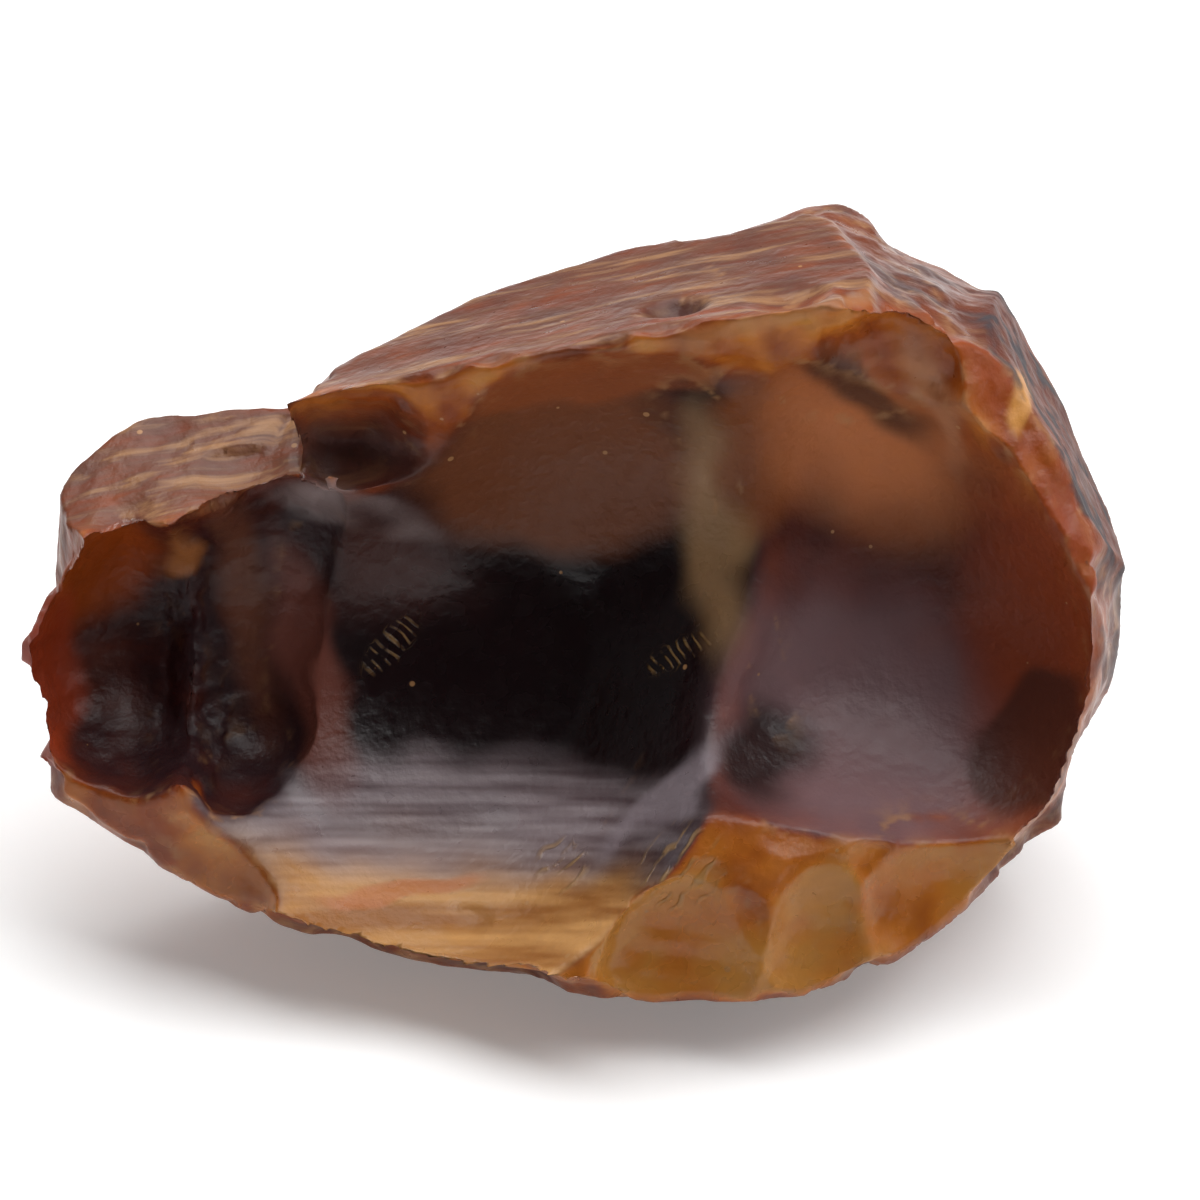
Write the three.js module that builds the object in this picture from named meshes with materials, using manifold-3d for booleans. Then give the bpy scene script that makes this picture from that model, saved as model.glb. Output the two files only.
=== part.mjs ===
// A rough piece of fire opal, broken on every side. One solid stone, about 48 mm long.
// It is worked out as it came about: a blank lump with the stone's outline, from which
// each shell-shaped scar and each flat break takes its own bite. The ridges are where
// two bites meet. Lengths are in millimetres.
//
// The big hollow face has its own frame: u to the right, v up the face and w out of it.
// The face leans back, so that it looks upwards and forwards when the stone stands.

import * as THREE from "three";
import { mergeVertices } from "three/addons/utils/BufferGeometryUtils.js";
import Module from "manifold-3d";

const wasm = await Module();
wasm.setup();

// Driving dimensions
const LOOK_UP = THREE.MathUtils.degToRad(35); // how far above the horizon the face looks
const STAND = 15.2; // height of the face's middle above the flat spot
const FACE_AT = [1.34, -1.09, STAND]; // the face's middle, from under the middle of the stone
const DRAFT = 1 / 320; // how much the outline narrows for each mm out of the face
const BLANK_FRONT = 9.5; // how far the blank reaches out of the face
const BLANK_BACK = -24; // and into the stone
const WIDEST_AT_SIDES = -2.5; // how far out of the face the stone is widest
const WIDEST_SWING = 5.5; // further back at the top, further out at the bottom
const ROUNDING = 0.0007; // how fast it narrows from there, per mm squared
const CALM_AFTER = 7; // where the small bumps of the outline have faded
const CUT_REACH = 34; // how far a bite goes on, out of the stone

// Outline of the stone in its face, anticlockwise from the right-hand end
const OUTLINE = [
  [22.6, 1.7], [22.1, 5.4], [21.1, 8.3], [19.6, 10.4], [18.3, 12.0], [16.7, 13.6],
  [15.2, 14.4], [13.7, 14.9], [12.6, 15.4], [12.0, 16.3], [11.1, 17.1], [9.3, 17.2],
  [8.0, 16.7], [6.5, 16.2], [4.3, 15.3], [2.8, 15.2], [1.1, 15.1], [-1.3, 14.3],
  [-4.3, 13.5], [-7.4, 12.4], [-10.0, 11.1], [-11.7, 10.0], [-12.4, 8.8], [-12.8, 7.9],
  [-13.9, 7.5], [-15.4, 7.7], [-16.7, 8.0], [-17.8, 8.0], [-18.6, 8.3], [-19.6, 8.4],
  [-21.3, 8.0], [-22.0, 7.3], [-22.8, 6.4], [-23.8, 5.2], [-23.8, 2.6], [-23.7, 0.4],
  [-24.3, -0.7], [-25.3, -1.4], [-24.9, -3.0], [-24.1, -5.0], [-24.5, -7.9], [-23.5, -8.6],
  [-21.3, -9.9], [-18.9, -11.3], [-17.4, -12.4], [-15.2, -13.5], [-12.6, -14.5],
  [-10.4, -15.0], [-7.8, -15.7], [-4.8, -16.0], [-3.0, -16.0], [-1.3, -16.8],
  [0.0, -16.8], [2.0, -17.3], [3.9, -17.0], [5.7, -17.3], [7.0, -17.8], [8.7, -17.4],
  [10.9, -16.3], [13.0, -15.7], [14.3, -14.8], [15.7, -13.3], [17.4, -11.7],
  [18.7, -10.1], [19.9, -9.8], [20.5, -8.3], [21.1, -6.3], [21.9, -4.3], [22.3, -2.8],
  [22.6, -0.4],
];

// Shell scars. at: the deepest point. depth: from there to the level of the rim.
// out: the way the bowl opens. reach: the rim's distance at equal turns round that way,
// anticlockwise, starting from the right.
const TO_THE_EYE = [0, 0, 1];
const SCARS = {
  mainHollow: {
    at: [-4.5, -2, -3.2], out: TO_THE_EYE, depth: 14,
    reach: [12, 19.5, 15, 12.6, 8.6, 12, 14, 19, 18.6, 15.8, 12.8, 12],
  },
  besideHollow: {
    at: [-10.5, -1.5, -2.4], out: TO_THE_EYE, depth: 8,
    reach: [9, 7, 5.4, 5.2, 6.0, 3.8, 3.6, 4.6, 6.5, 8, 9, 9],
  },
  rightHollow: {
    at: [13, -2, -2.4], out: TO_THE_EYE, depth: 10,
    reach: [9.6, 8.4, 9.2, 12.4, 14, 8.6, 8.4, 11.6, 9, 8.6, 11.8, 10.6],
  },
  underTheLip: {
    at: [-10.8, 6.2, 0.2], out: [0, 0.1, 1], depth: 6,
    reach: [4.4, 3.2, 2.6, 2.2, 2.4, 3.4, 3.6, 3.0, 2.4, 2.3, 2.6, 4.2],
  },
  lobeLeft: {
    at: [-20.9, -2.6, -4.2], out: TO_THE_EYE, depth: 7,
    reach: [4.6, 5.8, 6.6, 6.0, 4.6, 3.8, 4.4, 4.6, 5.4, 6.2, 6.2, 4.8],
  },
  lobeRight: {
    at: [-15, -3.6, -4.2], out: TO_THE_EYE, depth: 6,
    reach: [3.6, 4.4, 8.6, 9.4, 7, 4.2, 3.8, 4.4, 5.6, 5.8, 5, 4],
  },
  amberFlake: {
    at: [-16.6, -11.4, 0.8], out: [-0.2, -0.5, 0.84], depth: 1.6,
    reach: [3.0, 3.0, 2.6, 2.4, 2.6, 3.0, 3.6, 4, 4, 3.6, 3.2, 3],
  },
  lowerFlakeLeft: {
    at: [5.0, -15.6, 4.0], out: [-0.25, -0.2, 0.94], depth: 1.6,
    reach: [3.8, 4.0, 4.0, 4.2, 4.4, 4.4, 4.4, 4, 4, 4, 4, 4],
  },
  lowerFlakeMiddle: {
    at: [9.0, -14.6, 3.6], out: [0.25, -0.15, 0.95], depth: 1.5,
    reach: [2.8, 3.0, 3.6, 3.8, 2.8, 2.2, 2.2, 3, 4, 4, 4, 3],
  },
  lowerFlakeRight: {
    at: [14.2, -12.6, 2.0], out: [0.35, -0.2, 0.9], depth: 1.6,
    reach: [4.4, 4.2, 3.2, 2.8, 3.4, 3.8, 3.8, 4, 4, 4, 4, 4.4],
  },
  topPit: {
    at: [3.4, 11.95, 3.6], out: [-0.2, 0.94, 0.275], depth: 0.8,
    reach: [1.6, 1.2, 1.0, 1.2, 1.3, 1.4, 1.6, 1.2, 1.0, 1.1, 1.2, 1.3],
  },
  browCorner: {
    at: [11.2, 10.8, 4.6], out: [0.35, -0.5, 0.79], depth: 2.2,
    reach: [3.4, 3.2, 2.8, 2.4, 2.6, 3.4, 4, 4, 4, 4, 4, 3.6],
  },
  backShell: {
    at: [8, 6, -11.0], out: [0.16, 0.16, -0.97], depth: 5,
    reach: [19, 17, 16, 17, 19, 20, 19, 17, 16, 16, 18, 19],
  },
  backLeftShell: {
    at: [-11, 2, -8.4], out: [-0.28, 0.1, -0.95], depth: 5,
    reach: [18, 17, 16, 18, 20, 20, 18, 16, 15, 16, 18, 19],
  },
  backLowShell: {
    at: [1, -5, -14.6], out: [0.05, 0.1, -0.99], depth: 4,
    reach: [17, 14, 10, 9, 10, 14, 17, 14, 10, 9, 10, 14],
  },
  underShell: {
    at: [-8, -14.2, -5], out: [-0.1, -0.97, -0.2], depth: 3,
    reach: [11, 9, 7, 6, 7, 9, 11, 9, 7, 6, 7, 9],
  },
  rightShell: {
    at: [19.8, -3, -8], out: [0.9, -0.1, -0.4], depth: 3,
    reach: [10, 9, 9, 9, 9, 10, 10, 9, 9, 9, 9, 10],
  },
};

// Breaks that are nearly flat. at: a point on the break, and its middle. out: the way it
// faces. bend: how it curves along its own two directions, per mm, hollow above 0.
// span: how far it goes along them.
const BREAKS = {
  top: { at: [1, 11.2, 6.5], out: [-0.2, 0.94, 0.275], bend: [-0.002, 0.008], span: [64, 64] },
  brow: { at: [-1.5, 9.6, 5.2], out: [0.0, -0.62, 0.78], bend: [0, 0], span: [27, 9.2] },
  browRight: { at: [17, 8.4, 4.6], out: [0.5, 0.16, 0.85], bend: [0, 0], span: [30, 40] },
  right: { at: [20.6, 5.0, 2.4], out: [0.87, 0.46, 0.16], bend: [0, 0], span: [60, 60] },
  lobeTop: { at: [-22.4, 5, -0.9], out: [-0.2, 0.72, 0.66], bend: [0, 0.03], span: [19.6, 34] },
  lobeBelow: { at: [-21, -9.6, 0.6], out: [-0.35, -0.5, 0.79], bend: [0, 0], span: [14, 20] },
  lowerRight: { at: [11, -15.2, 4.5], out: [0.2, -0.06, 0.97], bend: [-0.004, -0.01], span: [34, 14.4] },
  backTop: { at: [0, 15, -9.5], out: [0.02, 0.33, -0.94], bend: [-0.004, -0.003], span: [80, 80] },
  backRight: { at: [20.5, 3, -9], out: [0.75, 0.1, -0.65], bend: [-0.004, -0.006], span: [80, 80] },
  backLeft: { at: [-22, 3, -5], out: [-0.42, 0.08, -0.9], bend: [-0.003, -0.004], span: [80, 80] },
  under: { at: [4, -17.6, 4.5], out: [0.03, -0.985, -0.174], bend: [-0.004, -0.004], span: [80, 80] },
  underLeft: { at: [-17, -12.8, -1], out: [-0.38, -0.78, -0.42], bend: [-0.004, -0.006], span: [80, 80] },
  underRight: { at: [18, -10.5, -4], out: [0.5, -0.78, -0.36], bend: [-0.006, -0.006], span: [80, 80] },
  belly: { at: [2.8, -10.7, -11.9], out: [0, -0.82, -0.57], bend: [-0.008, -0.008], span: [80, 80] },
  foot: {
    at: [0, -STAND * Math.cos(LOOK_UP), -STAND * Math.sin(LOOK_UP)],
    out: [0, -Math.cos(LOOK_UP), -Math.sin(LOOK_UP)],
    bend: [0, 0],
    span: [80, 80],
  },
};

function solidOf(geometry) {
  const bare = geometry.clone();
  bare.deleteAttribute("normal");
  bare.deleteAttribute("uv");
  const merged = mergeVertices(bare, 1e-4);
  return new wasm.Manifold(
    new wasm.Mesh({
      numProp: 3,
      vertProperties: new Float32Array(merged.attributes.position.array),
      triVerts: new Uint32Array(merged.index.array),
    }),
  );
}

function eachVertex(geometry, change) {
  const place = geometry.attributes.position;
  const p = new THREE.Vector3();
  for (let i = 0; i < place.count; i++) {
    change(p.fromBufferAttribute(place, i));
    place.setXYZ(i, p.x, p.y, p.z);
  }
  return geometry;
}

// The blank: the outline carried through the stone. It is widest where it is seen, and
// its small bumps fade in front of and behind that.
function blank() {
  const count = 96;
  const calmSpan = 6;
  const ring = new THREE.CatmullRomCurve3(
    OUTLINE.map(([u, v]) => new THREE.Vector3(u, v, 0)),
    true,
    "centripetal",
  ).getSpacedPoints(count);
  ring.pop();
  const calm = ring.map((_, i) => {
    const sum = new THREE.Vector3();
    for (let k = -calmSpan; k <= calmSpan; k++) sum.add(ring[(i + k + count) % count]);
    return sum.divideScalar(2 * calmSpan + 1);
  });
  const geometry = new THREE.ExtrudeGeometry(new THREE.Shape(ring), {
    depth: BLANK_FRONT - BLANK_BACK,
    steps: 6,
    bevelEnabled: false,
  });
  return eachVertex(geometry, (p) => {
    const out = p.z + BLANK_BACK;
    p.z = 0;
    const at = ring.reduce((best, q, i) => (q.distanceTo(p) < ring[best].distanceTo(p) ? i : best), 0);
    const away = out - WIDEST_AT_SIDES + WIDEST_SWING * Math.sin(Math.atan2(p.y, p.x));
    p.lerp(calm[at], Math.min(1, Math.abs(away) / CALM_AFTER));
    p.multiplyScalar(1 - out * DRAFT - ROUNDING * away * away);
    p.z = out;
  });
}

// A closed run of radii as one smooth curve, a cubic B-spline over the given ones.
function reachAt(reach, turn) {
  const n = reach.length;
  const t = ((turn / (2 * Math.PI)) * n + n) % n;
  const i = Math.floor(t);
  const f = t - i;
  const [a, b, c, d] = [-1, 0, 1, 2].map((k) => reach[(i + k + n) % n]);
  const before = a * (1 - f) ** 3 + b * (3 * f ** 3 - 6 * f ** 2 + 4);
  const after = c * (-3 * f ** 3 + 3 * f ** 2 + 3 * f + 1) + d * f ** 3;
  return (before + after) / 6;
}

// Stands a bite at its place, with its own Z along the way it opens.
function placed(geometry, { at, out }) {
  const normal = new THREE.Vector3(...out).normalize();
  const along = new THREE.Vector3(1, 0, 0).addScaledVector(normal, -normal.x).normalize();
  const up = new THREE.Vector3().crossVectors(normal, along);
  return geometry.applyMatrix4(new THREE.Matrix4().makeBasis(along, up, normal).setPosition(...at));
}

// What a shell scar takes away: an uneven bowl, open out of the stone.
function scar(place) {
  const { depth, reach } = place;
  const size = Math.max(...reach);
  const around = size > 8 ? 44 : 26;
  const down = size > 8 ? 22 : 12;
  const flare = 0.25;
  const geometry = new THREE.SphereGeometry(1, around, down).rotateX(Math.PI / 2);
  eachVertex(geometry, (p) => {
    const turn = Math.atan2(p.y, p.x);
    const out = Math.hypot(p.x, p.y);
    const edge = reachAt(reach, turn);
    const above = Math.max(0, p.z);
    const share = p.z > 0 && out > 1e-6 ? 1 + flare * above : out;
    const rise = p.z > 0 ? depth + above * CUT_REACH : depth * (1 + p.z);
    p.set(Math.cos(turn) * edge * share, Math.sin(turn) * edge * share, rise);
  });
  return placed(geometry, place);
}

// What a nearly flat break takes away: a slab whose lower face is the break.
function breakSlab(place) {
  const { bend, span } = place;
  const cell = 4;
  const cells = span.map((length, i) => (bend[i] === 0 ? 1 : Math.ceil(length / cell)));
  const geometry = new THREE.BoxGeometry(span[0], span[1], CUT_REACH, cells[0], cells[1], 1);
  eachVertex(geometry, (p) => {
    const bottom = p.z < 0;
    p.z += CUT_REACH / 2;
    if (bottom) p.z += bend[0] * p.x * p.x + bend[1] * p.y * p.y;
    else p.z += 10;
  });
  return placed(geometry, place);
}

function stone() {
  let solid = solidOf(blank());
  for (const place of Object.values(BREAKS)) solid = solid.subtract(solidOf(breakSlab(place)));
  for (const place of Object.values(SCARS)) solid = solid.subtract(solidOf(scar(place)));
  return solid;
}

function geometryOf(solid) {
  const mesh = solid.getMesh();
  const geometry = new THREE.BufferGeometry();
  geometry.setAttribute("position", new THREE.BufferAttribute(mesh.vertProperties, 3));
  geometry.setIndex(new THREE.BufferAttribute(mesh.triVerts, 1));
  return geometry;
}

const opal = new THREE.MeshStandardMaterial({ color: 0x3a1a12, roughness: 0.2, metalness: 0 });
const fireOpal = new THREE.Mesh(geometryOf(stone()), opal);
fireOpal.name = "fire_opal";
fireOpal.rotation.x = Math.PI / 2 - LOOK_UP;
fireOpal.position.set(...FACE_AT);

const part = new THREE.Group();
part.add(fireOpal);

export default part;
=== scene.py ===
"""A rough piece of fire opal on a pale floor: the stone's finished surface, light and camera."""

import math
from functools import partial
from types import SimpleNamespace

import bpy
import numpy as np
from bpy.props import FloatProperty, FloatVectorProperty, PointerProperty
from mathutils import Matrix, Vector
from mathutils.bvhtree import BVHTree
from mathutils.kdtree import KDTree


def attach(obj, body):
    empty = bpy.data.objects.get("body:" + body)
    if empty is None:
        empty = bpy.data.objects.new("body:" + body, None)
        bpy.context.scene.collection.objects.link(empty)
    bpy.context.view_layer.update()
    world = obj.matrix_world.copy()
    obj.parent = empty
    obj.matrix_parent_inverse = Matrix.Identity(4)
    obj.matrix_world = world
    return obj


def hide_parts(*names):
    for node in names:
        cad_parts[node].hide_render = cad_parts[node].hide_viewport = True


bl_info = {
    "name": "Rough fire opal",
    "version": (1, 0, 0),
    "blender": (4, 5, 0),
    "location": "View3D > Sidebar > Opal",
    "description": "Finishes a rough lump of fire opal and sets its light and camera",
    "category": "Object",
}

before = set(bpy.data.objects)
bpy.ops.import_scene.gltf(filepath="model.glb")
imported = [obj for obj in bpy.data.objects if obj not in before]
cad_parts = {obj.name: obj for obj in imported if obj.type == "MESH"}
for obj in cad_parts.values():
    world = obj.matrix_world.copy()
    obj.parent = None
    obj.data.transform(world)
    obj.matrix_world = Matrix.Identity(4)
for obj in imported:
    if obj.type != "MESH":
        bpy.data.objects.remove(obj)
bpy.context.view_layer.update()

MM = 0.001

# The picture's width and its scale
PHOTO_PX = 1200
PX_PER_MM = 23.0

# The face's own frame: u right, v up the face and w out of it, in mm, and its middle in the
# stone's frame
LOOK_UP = math.radians(35)
FACE_AT = (1.34, -1.09, 15.2)
TO_THE_EYE = (0, 0, 1)

# Past its rim a scar's wall rises this far, in mm, over this share of its reach
CUT_REACH = 34.0
FLARE = 0.25

# The depth, in mm, of a bite at points that its span doesn't cover
OUT_OF_SPAN = -9

# Shell scars: the deepest point, the way the bowl opens, its depth and its rim's reach
SCARS = {
    "mainHollow": dict(
        at=(-4.5, -2, -3.2), out=TO_THE_EYE, depth=14,
        reach=(12, 19.5, 15, 12.6, 8.6, 12, 14, 19, 18.6, 15.8, 12.8, 12),
    ),
    "besideHollow": dict(
        at=(-10.5, -1.5, -2.4), out=TO_THE_EYE, depth=8,
        reach=(9, 7, 5.4, 5.2, 6.0, 3.8, 3.6, 4.6, 6.5, 8, 9, 9),
    ),
    "rightHollow": dict(
        at=(13, -2, -2.4), out=TO_THE_EYE, depth=10,
        reach=(9.6, 8.4, 9.2, 12.4, 14, 8.6, 8.4, 11.6, 9, 8.6, 11.8, 10.6),
    ),
    "underTheLip": dict(
        at=(-10.8, 6.2, 0.2), out=(0, 0.1, 1), depth=6,
        reach=(4.4, 3.2, 2.6, 2.2, 2.4, 3.4, 3.6, 3.0, 2.4, 2.3, 2.6, 4.2),
    ),
    "lobeLeft": dict(
        at=(-20.9, -2.6, -4.2), out=TO_THE_EYE, depth=7,
        reach=(4.6, 5.8, 6.6, 6.0, 4.6, 3.8, 4.4, 4.6, 5.4, 6.2, 6.2, 4.8),
    ),
    "lobeRight": dict(
        at=(-15, -3.6, -4.2), out=TO_THE_EYE, depth=6,
        reach=(3.6, 4.4, 8.6, 9.4, 7, 4.2, 3.8, 4.4, 5.6, 5.8, 5, 4),
    ),
    "amberFlake": dict(
        at=(-16.6, -11.4, 0.8), out=(-0.2, -0.5, 0.84), depth=1.6,
        reach=(3.0, 3.0, 2.6, 2.4, 2.6, 3.0, 3.6, 4, 4, 3.6, 3.2, 3),
    ),
    "lowerFlakeLeft": dict(
        at=(5.0, -15.6, 4.0), out=(-0.25, -0.2, 0.94), depth=1.6,
        reach=(3.8, 4.0, 4.0, 4.2, 4.4, 4.4, 4.4, 4, 4, 4, 4, 4),
    ),
    "lowerFlakeMiddle": dict(
        at=(9.0, -14.6, 3.6), out=(0.25, -0.15, 0.95), depth=1.5,
        reach=(2.8, 3.0, 3.6, 3.8, 2.8, 2.2, 2.2, 3, 4, 4, 4, 3),
    ),
    "lowerFlakeRight": dict(
        at=(14.2, -12.6, 2.0), out=(0.35, -0.2, 0.9), depth=1.6,
        reach=(4.4, 4.2, 3.2, 2.8, 3.4, 3.8, 3.8, 4, 4, 4, 4, 4.4),
    ),
    "topPit": dict(
        at=(3.4, 11.95, 3.6), out=(-0.2, 0.94, 0.275), depth=0.8,
        reach=(1.6, 1.2, 1.0, 1.2, 1.3, 1.4, 1.6, 1.2, 1.0, 1.1, 1.2, 1.3),
    ),
    "browCorner": dict(
        at=(11.2, 10.8, 4.6), out=(0.35, -0.5, 0.79), depth=2.2,
        reach=(3.4, 3.2, 2.8, 2.4, 2.6, 3.4, 4, 4, 4, 4, 4, 3.6),
    ),
    "backShell": dict(
        at=(8, 6, -11.0), out=(0.16, 0.16, -0.97), depth=5,
        reach=(19, 17, 16, 17, 19, 20, 19, 17, 16, 16, 18, 19),
    ),
    "backLeftShell": dict(
        at=(-11, 2, -8.4), out=(-0.28, 0.1, -0.95), depth=5,
        reach=(18, 17, 16, 18, 20, 20, 18, 16, 15, 16, 18, 19),
    ),
    "backLowShell": dict(
        at=(1, -5, -14.6), out=(0.05, 0.1, -0.99), depth=4,
        reach=(17, 14, 10, 9, 10, 14, 17, 14, 10, 9, 10, 14),
    ),
    "underShell": dict(
        at=(-8, -14.2, -5), out=(-0.1, -0.97, -0.2), depth=3,
        reach=(11, 9, 7, 6, 7, 9, 11, 9, 7, 6, 7, 9),
    ),
    "rightShell": dict(
        at=(19.8, -3, -8), out=(0.9, -0.1, -0.4), depth=3,
        reach=(10, 9, 9, 9, 9, 10, 10, 9, 9, 9, 9, 10),
    ),
}

# Nearly flat breaks: their middle, the way they face, their bend per mm and their span
BREAKS = {
    "top": dict(at=(1, 11.2, 6.5), out=(-0.2, 0.94, 0.275), bend=(-0.002, 0.008), span=(64, 64)),
    "brow": dict(at=(-1.5, 9.6, 5.2), out=(0.0, -0.62, 0.78), bend=(0, 0), span=(27, 9.2)),
    "browRight": dict(at=(17, 8.4, 4.6), out=(0.5, 0.16, 0.85), bend=(0, 0), span=(30, 40)),
    "right": dict(at=(20.6, 5.0, 2.4), out=(0.87, 0.46, 0.16), bend=(0, 0), span=(60, 60)),
    "lobeTop": dict(at=(-22.4, 5, -0.9), out=(-0.2, 0.72, 0.66), bend=(0, 0.03), span=(19.6, 34)),
    "lobeBelow": dict(at=(-21, -9.6, 0.6), out=(-0.35, -0.5, 0.79), bend=(0, 0), span=(14, 20)),
    "lowerRight": dict(at=(11, -15.2, 4.5), out=(0.2, -0.06, 0.97), bend=(-0.004, -0.01), span=(34, 14.4)),
    "backTop": dict(at=(0, 15, -9.5), out=(0.02, 0.33, -0.94), bend=(-0.004, -0.003), span=(80, 80)),
    "backRight": dict(at=(20.5, 3, -9), out=(0.75, 0.1, -0.65), bend=(-0.004, -0.006), span=(80, 80)),
    "backLeft": dict(at=(-22, 3, -5), out=(-0.42, 0.08, -0.9), bend=(-0.003, -0.004), span=(80, 80)),
    "under": dict(at=(4, -17.6, 4.5), out=(0.03, -0.985, -0.174), bend=(-0.004, -0.004), span=(80, 80)),
    "underLeft": dict(at=(-17, -12.8, -1), out=(-0.38, -0.78, -0.42), bend=(-0.004, -0.006), span=(80, 80)),
    "underRight": dict(at=(18, -10.5, -4), out=(0.5, -0.78, -0.36), bend=(-0.006, -0.006), span=(80, 80)),
    "belly": dict(at=(2.8, -10.7, -11.9), out=(0, -0.82, -0.57), bend=(-0.008, -0.008), span=(80, 80)),
}

# How each surface broke, in mm. wander: how far it strays. ripple, spacing: its shell ripples.
# chips, chip: how deep and wide its small scallops are. streak: striae along the length.
GLASSY = dict(wander=0.06, ripple=0.02, spacing=2.3, chips=0.0, chip=1.0, streak=0.0)
FLAKED = dict(wander=0.24, ripple=0.03, spacing=1.2, chips=0.20, chip=2.4, streak=0.0)
RIPPLED = dict(wander=0.14, ripple=0.04, spacing=1.5, chips=0.06, chip=3.4, streak=0.0)
SPLINTERED = dict(wander=0.36, ripple=0.0, spacing=1.0, chips=0.36, chip=2.6, streak=0.16)
STREAKY = dict(wander=0.12, ripple=0.0, spacing=1.0, chips=0.05, chip=5.0, streak=0.035)
CHIPPED = dict(wander=0.24, ripple=0.02, spacing=2.0, chips=0.20, chip=4.2, streak=0.02)

# What each surface looks like. tone: from near black at 0 through red, orange and amber to
# honey at 1. lit: how far painted glow of light through the stone lifts that. matt: roughness.
# veil: its milky skin. clear: how see-through it is.
SURFACES = {
    "mainHollow": dict(broke=GLASSY, tone=0.03, lit=0.3, matt=0.26, veil=0.0, clear=0.2),
    "besideHollow": dict(broke=GLASSY, tone=0.03, lit=0.15, matt=0.36, veil=0.0, clear=0.12),
    "rightHollow": dict(broke=GLASSY, tone=0.25, lit=0.5, matt=0.42, veil=0.0, clear=0.2),
    "underTheLip": dict(broke=FLAKED, tone=0.24, lit=0.3, matt=0.4, veil=0.35, clear=0.15),
    "lobeLeft": dict(broke=FLAKED, tone=0.11, lit=0.2, matt=0.42, veil=0.0, clear=0.12),
    "lobeRight": dict(broke=FLAKED, tone=0.12, lit=0.16, matt=0.42, veil=0.0, clear=0.1),
    "amberFlake": dict(broke=RIPPLED, tone=0.6, lit=0.4, matt=0.26, veil=0.1, clear=0.35),
    "lowerFlakeLeft": dict(broke=RIPPLED, tone=0.8, lit=0.4, matt=0.26, veil=0.05, clear=0.35),
    "lowerFlakeMiddle": dict(broke=RIPPLED, tone=0.86, lit=0.4, matt=0.3, veil=0.15, clear=0.35),
    "lowerFlakeRight": dict(broke=RIPPLED, tone=0.68, lit=0.4, matt=0.26, veil=0.0, clear=0.4),
    "lowerRight": dict(broke=RIPPLED, tone=0.64, lit=0.4, matt=0.3, veil=0.1, clear=0.35),
    "topPit": dict(broke=RIPPLED, tone=0.2, lit=0.2, matt=0.4, veil=0.4, clear=0.15),
    "browCorner": dict(broke=SPLINTERED, tone=0.42, lit=0.25, matt=0.34, veil=0.0, clear=0.2),
    "brow": dict(broke=SPLINTERED, tone=0.5, lit=0.3, matt=0.4, veil=0.0, clear=0.2),
    "browRight": dict(broke=SPLINTERED, tone=0.5, lit=0.3, matt=0.38, veil=0.0, clear=0.2),
    "top": dict(broke=STREAKY, tone=0.36, lit=0.25, matt=0.34, veil=0.85, clear=0.1),
    "right": dict(broke=CHIPPED, tone=0.28, lit=0.3, matt=0.52, veil=0.15, clear=0.1),
    "lobeTop": dict(broke=CHIPPED, tone=0.34, lit=0.3, matt=0.36, veil=0.9, clear=0.1),
    "lobeBelow": dict(broke=CHIPPED, tone=0.42, lit=0.3, matt=0.3, veil=0.1, clear=0.2),
}
ELSEWHERE = dict(broke=CHIPPED, tone=0.34, lit=0.45, matt=0.34, veil=0.4, clear=0.15)

NAMES = list(SCARS) + list(BREAKS)

# How uneven the rim of a scar is, as a share of its reach, and how many waves go round it
RIBS = {
    "lobeLeft": 0.05, "lobeRight": 0.06, "underTheLip": 0.06, "lowerFlakeLeft": 0.03, "amberFlake": 0.05,
}
RIB_WAVES = (5, 8, 13, 21)

# Ridges that the photo shows as soft folds, and how wide each is rounded, in mm
SOFT_RIDGES = {
    ("mainHollow", "besideHollow"): 2.2,
    ("mainHollow", "rightHollow"): 0.8,
    ("lobeLeft", "lobeRight"): 0.3,
    ("lowerRight", "mainHollow"): 0.5,
    ("underTheLip", "mainHollow"): 0.7,
    ("underTheLip", "lobeRight"): 0.5,
    ("underTheLip", "lobeTop"): 0.5,
    ("underTheLip", "brow"): 0.4,
    ("lowerFlakeMiddle", "lowerRight"): 0.3,
    ("lowerFlakeRight", "lowerRight"): 0.3,
    ("browCorner", "brow"): 0.3,
}

# A ridge at least this wide, in mm, is evened out as a fold
FOLD_FROM = 0.6

# Right of this u, in mm, the main hollow's surface has the right hollow's look
RIGHT_LOOK_FROM = 8.5

# The crumpled fold between the two lobes: its u, half width, height and grain, in mm
LOBE_FOLD = dict(at=-17.6, half=1.1, high=0.16, grain=0.9)

# Shells knocked out along the ridges: how many, their radius and depth in mm, how far each one's
# direction strays, how near to a ridge they are, how far each one reaches and how far back they go
RIDGE_CHIPS = dict(count=420, radius=(2.0, 7.0), deep=(0.05, 0.28), stray=0.3, near=0.3, reach=2.6, back=-9)

# The outside that no bite has reached: its shallow shells and its bumps, in mm
WALL_SHELL = dict(high=0.3, wide=3.0)
WALL_BUMP = dict(high=0.12, wide=1.2)

# A shell that is part of another's break has the same small forms
SAME_BREAK = {"besideHollow": "mainHollow"}

# Where the blow fell that made each shell
STRUCK = {
    "mainHollow": (-3, 12, 4),
    "rightHollow": (12, 11, 5),
    "lobeLeft": (-20, 4, 0),
    "lobeRight": (-14, 6, 0),
    "lowerRight": (8, -6, 4),
}
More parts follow.
